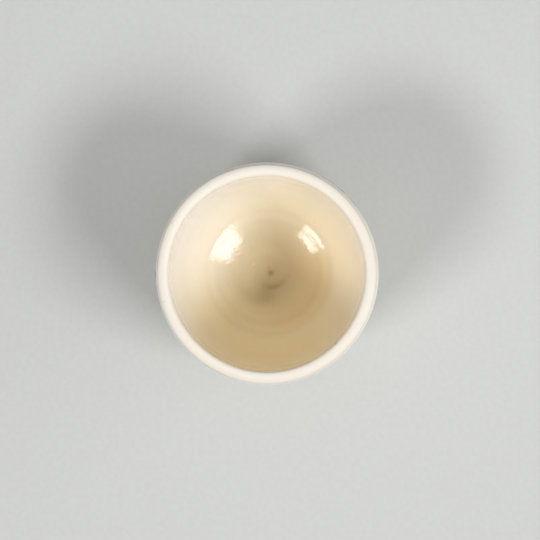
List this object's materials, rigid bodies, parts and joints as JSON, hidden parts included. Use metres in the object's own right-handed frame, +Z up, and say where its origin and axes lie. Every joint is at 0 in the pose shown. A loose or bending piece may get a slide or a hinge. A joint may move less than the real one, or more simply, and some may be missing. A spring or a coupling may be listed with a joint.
{
  "type": "yunomi teacup",
  "caption": "Handleless round-bellied stoneware teacup on a foot ring, ivory glaze outside and over the lip, cream glaze inside with a throwing spiral, and raised enamel sprigs.",
  "frame": {"origin": "centre of the foot ring's resting face, on the table", "axes": "+Z up along the cup's axis, +X to the right and +Y to the top of the picture, which looks down into the cup"},
  "size_m": [0.0775, 0.0766, 0.078],
  "materials": {
    "stoneware_bowl": "bare fired stoneware",
    "stoneware_foot": "bare fired stoneware, lightly ground on the resting face",
    "cream_glaze": "glossy cream to tan liner glaze",
    "ivory_glaze": "glossy ivory glaze",
    "leaf_enamel": "glossy dark green overglaze enamel",
    "twig_enamel": "glossy dark brown overglaze enamel",
    "berry_enamel": "glossy iron red overglaze enamel"
  },
  "bodies": {
    "root": {"thrown_bowl": "stoneware_bowl", "foot_ring": "stoneware_foot", "inner_glaze": "cream_glaze", "outer_glaze": "ivory_glaze", "sprig_1_berry_left": "berry_enamel", "sprig_1_berry_right": "berry_enamel", "sprig_1_berry_tip": "berry_enamel", "sprig_1_leaf_left_1": "leaf_enamel", "sprig_1_leaf_left_2": "leaf_enamel", "sprig_1_leaf_left_3": "leaf_enamel", "sprig_1_leaf_right_1": "leaf_enamel", "sprig_1_leaf_right_2": "leaf_enamel", "sprig_1_leaf_right_3": "leaf_enamel", "sprig_1_twig": "twig_enamel", "sprig_2_leaf_left_1": "leaf_enamel", "sprig_2_leaf_left_2": "leaf_enamel", "sprig_2_leaf_left_3": "leaf_enamel", "sprig_2_leaf_right_1": "leaf_enamel", "sprig_2_leaf_right_2": "leaf_enamel", "sprig_2_leaf_right_3": "leaf_enamel", "sprig_2_leaf_tip": "leaf_enamel", "sprig_2_twig": "twig_enamel", "sprig_3_berry_left": "berry_enamel", "sprig_3_berry_right": "berry_enamel", "sprig_3_berry_tip": "berry_enamel", "sprig_3_leaf_left_1": "leaf_enamel", "sprig_3_leaf_left_2": "leaf_enamel", "sprig_3_leaf_left_3": "leaf_enamel", "sprig_3_leaf_right_1": "leaf_enamel", "sprig_3_leaf_right_2": "leaf_enamel", "sprig_3_leaf_right_3": "leaf_enamel", "sprig_3_twig": "twig_enamel"}
  },
  "joints": []
}
